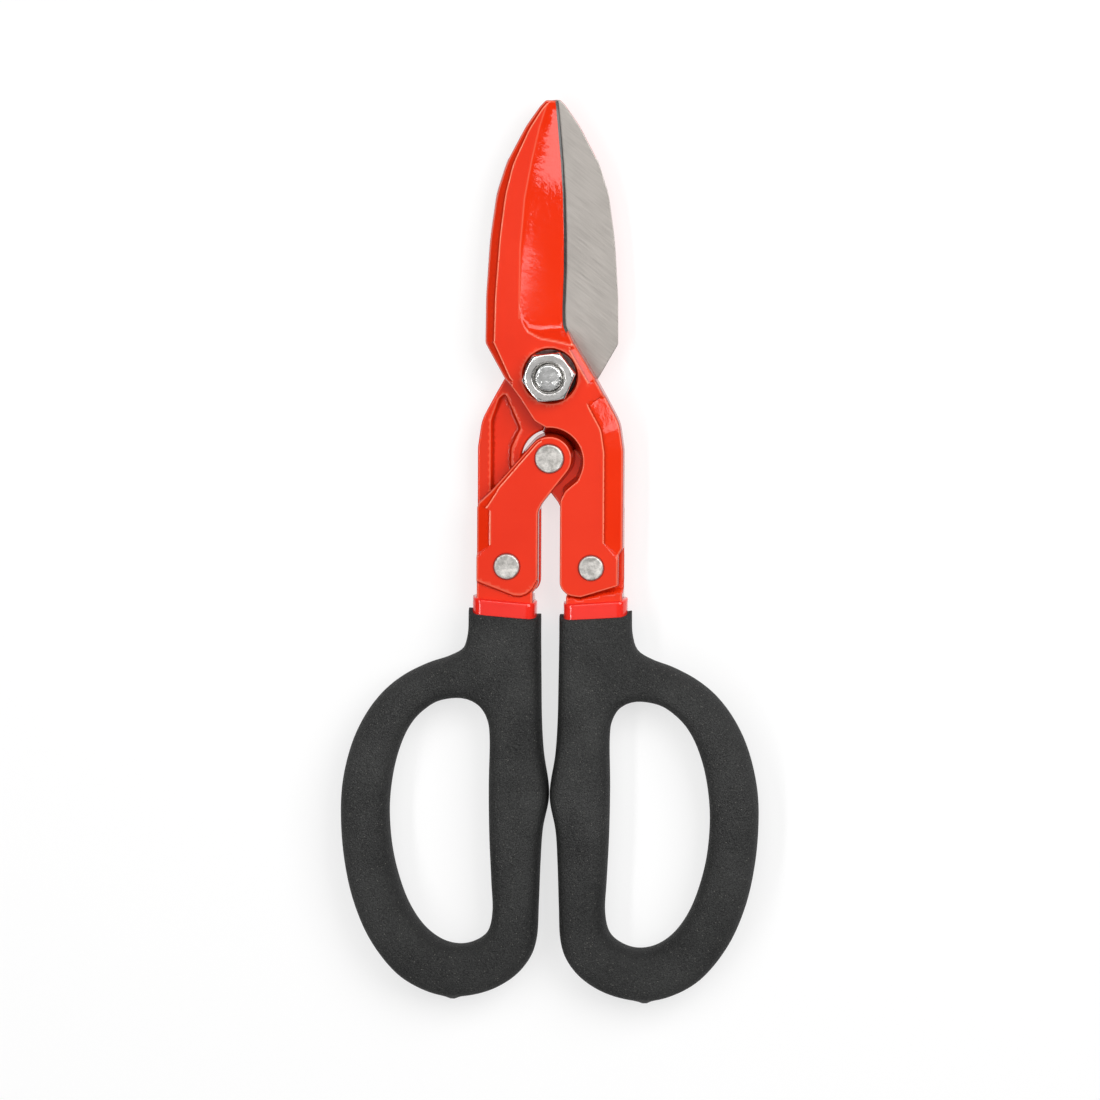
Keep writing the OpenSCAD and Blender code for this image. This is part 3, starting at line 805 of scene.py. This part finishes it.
def dipped_surface(inset, top):
    """Closed grid of the left loop, inset by a coat or two, with its flat end at y = top. A point's
    half thickness is that of an oval across the bar: with t the share of the way from the hole's
    edge to the outer edge, it is the p-th root of 1 - |2t - 1| to the power p, p being about 2."""
    below = [p for p in OUTER_EDGE if p[1] < top - 1]
    outer = curve_through([(below[0][0], top), *below, (below[-1][0], top)], 230, False)
    hole = curve_through(HOLE_EDGE, 400, True)
    rim_n = 26
    run = np.gradient(outer, axis=0)
    side = np.column_stack([run[:, 1], -run[:, 0]]) / np.linalg.norm(run, axis=1)[:, None]
    outer = outer - side * inset
    outer[0, 1] = outer[-1, 1] = top
    rim = np.linspace(outer[-1], outer[0], rim_n)[1:-1]
    hole = hole - inward(hole) * inset
    edge = np.concatenate([outer, rim])
    fade = 1 - np.floor(np.clip(edge[:, 0] + 22, 0, 10)) / 10
    aside = STEM_SHIFT * smooth_step((edge[:, 1] + 81) / 7) * fade
    x, y = (edge - LOOP_MIDDLE).T
    bearing = np.unwrap(np.arctan2(y, x + aside))
    x, y = (hole - LOOP_MIDDLE).T
    aim = np.arctan2(y, x)
    order = np.argsort(aim)
    aim, ring = aim[order], hole[order]
    bearing = np.maximum.accumulate(bearing)
    wrapped = (bearing + np.pi) % (2 * np.pi) - np.pi
    aim = np.concatenate([aim - 2 * np.pi, aim, aim + 2 * np.pi])
    ring = np.concatenate([ring, ring, ring])
    facing = np.column_stack([np.interp(wrapped, aim, ring[:, 0]), np.interp(wrapped, aim, ring[:, 1])])
    v = (1 - np.cos(np.linspace(0, np.pi, 25))) / 2
    flat = facing[:, None] + (edge - facing)[:, None] * v[None, :, None]
    points = flat.reshape(-1, 2)
    boundary = np.concatenate([outer, outer[-2:0:-1]])
    to_outer = nearest(points, boundary)[0]
    to_hole = nearest(points, hole)[0]

    def eased(d):
        return 5 * (1 - (1 - np.minimum(d / 10, 1)) ** 2)

    t = eased(to_hole) / np.maximum(eased(to_hole) + eased(to_outer), 1e-9)
    thick = np.interp(points[:, 1], [-84, -67], [GRIP_T, RIM_T]) / 2 - inset
    power = np.interp(points[:, 1], [-84, -72], [2.05, 2.8])
    z = thick * np.maximum(1 - np.abs(2 * t - 1) ** power, 0) ** (1 / power)
    z = z - rounded_edge(np.maximum(top - points[:, 1], 0), END_BREAK) * np.clip(z, 0, 1)
    z = z.reshape(flat.shape[:2])
    z[:, 0] = 0
    z[:len(outer), -1] = 0
    return flat, z, len(outer)


def warp_dip(p, top, slant, sag):
    """Moves the end rim: higher on the outer side by slant, and lower by sag over the flat faces."""
    near = smooth_step((p[:, 1] - (top - 9)) / 9)
    lean = (p[:, 0] + 12.8) / 10
    flatness = np.clip(np.abs(p[:, 2]) / 6, 0, 1) ** 2
    p[:, 1] += near * (-slant * lean - sag * flatness + sag * 0.3)
    drip = np.exp(-((p[:, 0] - DRIP_AT[0]) ** 2 + p[:, 2] ** 2) / 5)
    p[:, 1] -= DRIP * drip * smooth_step((DRIP_AT[1] - p[:, 1]) / 4)
    return p


def dipped_shell(inset, top, slant, sag):
    """Vertices and faces of one closed surface: the upper sheet, the lower sheet and the end face."""
    flat, z, n_outer = dipped_surface(inset, top)
    rows, cols = z.shape
    upper = np.concatenate([flat.reshape(-1, 2), z.reshape(-1, 1)], 1)
    verts = warp_dip(np.concatenate([upper, upper * np.array([1, 1, -1])]), top, slant, sag)
    i, k = np.meshgrid(np.arange(rows), np.arange(cols - 1), indexing="ij")
    j = (i + 1) % rows
    quad = np.stack([i * cols + k, i * cols + k + 1, j * cols + k + 1, j * cols + k], 2).reshape(-1, 4)
    half = rows * cols
    end = np.concatenate([np.arange(n_outer - 1, rows), [0]])
    a, b = end[:-1] * cols + cols - 1, end[1:] * cols + cols - 1
    cap = np.column_stack([a, b, b + half, a + half])
    faces = np.concatenate([quad, quad[:, ::-1] + half, cap[:, ::-1]])
    seam = np.arange(rows) * cols
    edge = np.arange(n_outer) * cols + cols - 1
    same = np.arange(2 * half)
    same[seam + half] = seam
    same[edge + half] = edge
    return tidy_mesh(verts, same[faces])


def tidy_mesh(verts, faces):
    """Drops unused points and repeated corners, and turns the faces outward by the signed volume."""
    used, where = np.unique(faces, return_inverse=True)
    verts, faces = verts[used], where.reshape(faces.shape)
    tri = verts[faces[:, :3]]
    volume = np.einsum("ij,ij->i", tri[:, 0], np.cross(tri[:, 1], tri[:, 2])).sum()
    faces = faces if volume > 0 else faces[:, ::-1]
    cleaned = [list(dict.fromkeys(f)) for f in faces.tolist()]
    return verts, [f for f in cleaned if len(f) > 2]


def handle_shape():
    """The left handle. The arm's outer height is the lesser of a flat land and a plane falling to the
    outline along the bevels; a quarter-round step takes it down to the tang. The inner height drops
    from the shear plane to the tang's other face at the shoulder. The bar is a dipped shell."""
    arc = np.radians(np.arange(-40, 141, 6))
    end = [(ARM_END * math.cos(a), FULCRUM_Y + ARM_END * math.sin(a), 0) for a in arc]
    outline = filleted(end + [(-16.6, -32.8, 3), (-20.0, -36.1, 1.5), (-20.45, -37.6, 1), (-20.45, -76, 1),
                              (-4.7, -76, 1), (-4.7, -61.2, 0.3), (-3.2, -59.0, 3.5), (-3.2, -38.3, 4),
                              (-2.1, -36.0, 2)], 0.6)
    x, y = outline[:, 0], outline[:, 1]
    outer_side = (x < -19) & (y < -36.3)
    slope = (x < 4) & (y > -36.3) & (y > -19.2 + (x + 4.8) * 1.2 - 1)
    width = np.where(outer_side, np.interp(y, OUTER_BEVEL_Y, OUTER_BEVEL), 0)
    width = np.where(slope, np.interp(x, SLOPE_BEVEL_X, SLOPE_BEVEL), width)
    drop = np.where(outer_side, np.minimum(width * 0.5, 1.3), width * 0.6)
    off_end = np.abs(np.hypot(x, y - FULCRUM_Y) - ARM_END)
    flare = np.where(y > -61, DRAFT, 0) + (END_DRAFT - DRAFT) * np.clip(2 - off_end, 0, 1)

    def outer(px, py, depth, corner):
        w = np.maximum(width[corner], 1e-3)
        land = np.full(len(px), LAYER_OUT)
        ended = ARM_BEVEL_RUN[0] * (px - ARM_BEVEL_END[0]) + ARM_BEVEL_RUN[1] * (py - ARM_BEVEL_END[1])
        ended = np.maximum(ended, 0) * (py < -40) * (px < -10)
        falling = land - drop[corner] * (1 - depth / w) + END_RISE * ended
        arm = soft_least(land, np.where(width[corner] > BEVELLED, falling, land + 1), BEVEL_BLEND)
        step = np.interp(px, STEP_X, STEP_Y)
        rise = np.clip((py - step) / 0.7, 0, 1)
        z = TANG_T / 2 + (arm - TANG_T / 2) * np.sqrt(1 - (1 - rise) ** 2)
        # Painted highlight and painted shade lines: along the bevels and the broken edge, a highlight above
        # the step down to the tang and a shade line at its foot, and painted shadows round the rivet heads.
        painted_shading = np.where((width[corner] > 0.3) & (ended < 0.1), bevel_painted_lines(depth, w, 0.7), 0)
        painted_shading += break_painted_lines(depth)
        painted_shading += 0.4 * streak(py - step - 0.75, 0.2) - 0.8 * streak(py - step - 0.1, 0.2)
        painted_shading -= head_shadow(px, py, (-RIVET_X, RIVET_Y), LEFT_HEAD)
        painted_shading -= head_shadow(px, py, (0, FULCRUM_Y), FULCRUM_HEAD)
        return z - rounded_edge(depth, PAINT_BREAK), painted_shading

    def inner(px, py, depth, corner):
        shoulder = np.interp(px, SHOULDER_X, SHOULDER_Y)
        fall = np.clip((shoulder + 0.25 - py) / 0.5, 0, 1)
        z = LAYER_IN * (1 - fall) - TANG_T / 2 * fall
        # A painted highlight just inside the edge and painted shade on the edge itself.
        painted_shading = 0.4 * streak(depth - 0.3, 0.16) - 0.5 * streak(depth, 0.12)
        return z + rounded_edge(depth, 0.5), painted_shading

    normal = inward(outline)
    wide = width > 0.3
    lines = [(outline + normal * (width + s)[:, None])[wide] for s in BESIDE]
    lines += [circle((-RIVET_X, RIVET_Y), LEFT_HEAD + s, 80) for s in HEAD_ROWS]
    lines += [circle((0, FULCRUM_Y), FULCRUM_HEAD + s, 80) for s in HEAD_ROWS]
    run_out = np.column_stack([np.linspace(-15.9, -20.3, 26), np.linspace(-47.25, -50.37, 26)])
    lines += [run_out + np.array(ARM_BEVEL_RUN) * s for s in END_ROWS]
    across = np.linspace(-20.3, -3.3, 40)
    step = np.interp(across, STEP_X, STEP_Y)
    lines += [np.column_stack([across, step + s]) for s in STEP_ROWS]
    shoulder = np.interp(across, SHOULDER_X, SHOULDER_Y)
    lines += [np.column_stack([across, shoulder + s]) for s in (-0.28, 0.28)]
    bores = [(0, FULCRUM_Y, RIVET_BORE), (-RIVET_X, RIVET_Y, RIVET_BORE)]
    verts, faces, painted_shading, _ = forging(outline, bores, outer, inner, lines, 1.0, flare)
    bar_verts, bar_faces = dipped_shell(2 * COAT, BAR_TOP, 0, 0)
    bar = [[i + len(verts) for i in f] for f in bar_faces]
    painted_shading = np.concatenate([painted_shading, np.zeros(len(bar_verts))])
    return np.concatenate([verts, bar_verts]), faces.tolist() + bar, painted_shading


handle_verts, handle_faces, handle_painted_shading = handle_shape()
for side, is_right in (("left", False), ("right", True)):
    handle = make_piece(side + "_handle_forged", handle_verts, handle_faces, is_right, painted_shading=handle_painted_shading)
    handle.data.materials.append(paint)
    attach(handle, side + "_handle_body")
    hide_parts(side + "_handle")


# ---- Sleeves
# The first dip: glossy red vinyl over tang and loop. Only a collar of it shows above the grip,
# rising a little towards the outer side.

SLEEVE_TOP = -63.6
SLEEVE_SLANT = 0.75
SLEEVE_SAG = 0.3


def red_vinyl():
    """Dipped vinyl: saturated, very glossy, with a slight sag ripple."""
    material, tree, shader, position = new_finish("red_vinyl")
    height, cloud = skin_of(tree, position, 420.0)
    colour = mixed(tree, spread(tree, cloud, 0.35, 0.65), (0.90, 0.022, 0.012), (0.95, 0.030, 0.018))
    dress(tree, shader, colour, height, 0.12, 0.0004)
    shader.inputs["Roughness"].default_value = 0.1
    shader.inputs["Specular IOR Level"].default_value = 0.6
    return material


vinyl = red_vinyl()
sleeve_verts, sleeve_faces = dipped_shell(COAT, SLEEVE_TOP, SLEEVE_SLANT, SLEEVE_SAG)
for side, is_right in (("left", False), ("right", True)):
    sleeve = make_piece(side + "_sleeve_dipped", sleeve_verts, sleeve_faces, is_right)
    sleeve.data.materials.append(vinyl)
    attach(sleeve, side + "_handle_body")
    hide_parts(side + "_sleeve")


# ---- Grips
# The second dip: black foamed vinyl with a matt, finely pebbled skin and pale specks. It is
# painted palest along its crown and darkest at its sides and at the bottom: painted light from above,
# falling off downwards.

GRIP_TOP = -67.4
GRIP_SLANT = 0.7
GRIP_SAG = 1.1
# Painted light falling off towards the bottom: the crown's lightening is scaled from 0.85 at the bottom to 1
# higher up.
LIGHT_FALLOFF_Y = [-178, -130]
LIGHT_FALLOFF = [0.85, 1.0]


def grip_foam():
    """Foamed skin: small rounded cells give the bump, sparse bright cells the specks, and a broad
    cloud the worn patches. The painted shading attribute, here the height of the crown, scales the tint:
    painted light on the crown, painted shade at the sides and bottom."""
    material, tree, shader, position = new_finish("grip_foam")
    cells = add(tree, "TexVoronoi", {"Vector": position, "Scale": 1900.0})
    grit = noise(tree, position, 3200.0, 3.0, 0.7)
    cloud = spread(tree, noise(tree, position, 55.0, 4.0), 0.35, 0.65)
    tint = worked(tree, "MULTIPLY_ADD", cloud, 0.3, spread(tree, grit, 0.38, 0.64, 0.0, 0.7))
    painted_shading = add(tree, "Attribute", (), attribute_name="painted_shading").outputs["Fac"]
    # Painted light: the tint is lightened along the crown and darkened towards the sides.
    crown = spread(tree, painted_shading, 0.45, 1.0, 0.1, 1.0)
    base = mixed(tree, worked(tree, "MULTIPLY", tint, crown), (0.008, 0.0082, 0.0084), (0.074, 0.075, 0.073))
    lone = add(tree, "SeparateColor", {0: cells.outputs["Color"]}).outputs[0]
    close = spread(tree, cells.outputs["Distance"], 0.12, 0.38, 1.0, 0.0)
    speck = worked(tree, "MULTIPLY", spread(tree, lone, 0.80, 0.99), close)
    colour = mixed(tree, speck, base, (0.16, 0.155, 0.14))
    height = worked(tree, "ADD", cells.outputs["Distance"], grit)
    dress(tree, shader, colour, height, 1.0, 0.0003)
    shader.inputs["Roughness"].default_value = 0.72
    shader.inputs["Specular IOR Level"].default_value = 0.35
    return material


foam = grip_foam()
grip_verts, grip_faces = dipped_shell(0, GRIP_TOP, GRIP_SLANT, GRIP_SAG)
# Painted light and shade on the grips: palest on the crown, darker at the sides and towards the bottom.
grip_crown_light = np.abs(grip_verts[:, 2]) / (GRIP_T / 2) * np.interp(grip_verts[:, 1], LIGHT_FALLOFF_Y, LIGHT_FALLOFF)
for side, is_right in (("left", False), ("right", True)):
    grip = make_piece(side + "_grip_dipped", grip_verts, grip_faces, is_right, painted_shading=grip_crown_light)
    grip.data.materials.append(foam)
    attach(grip, side + "_handle_body")
    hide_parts(side + "_grip")
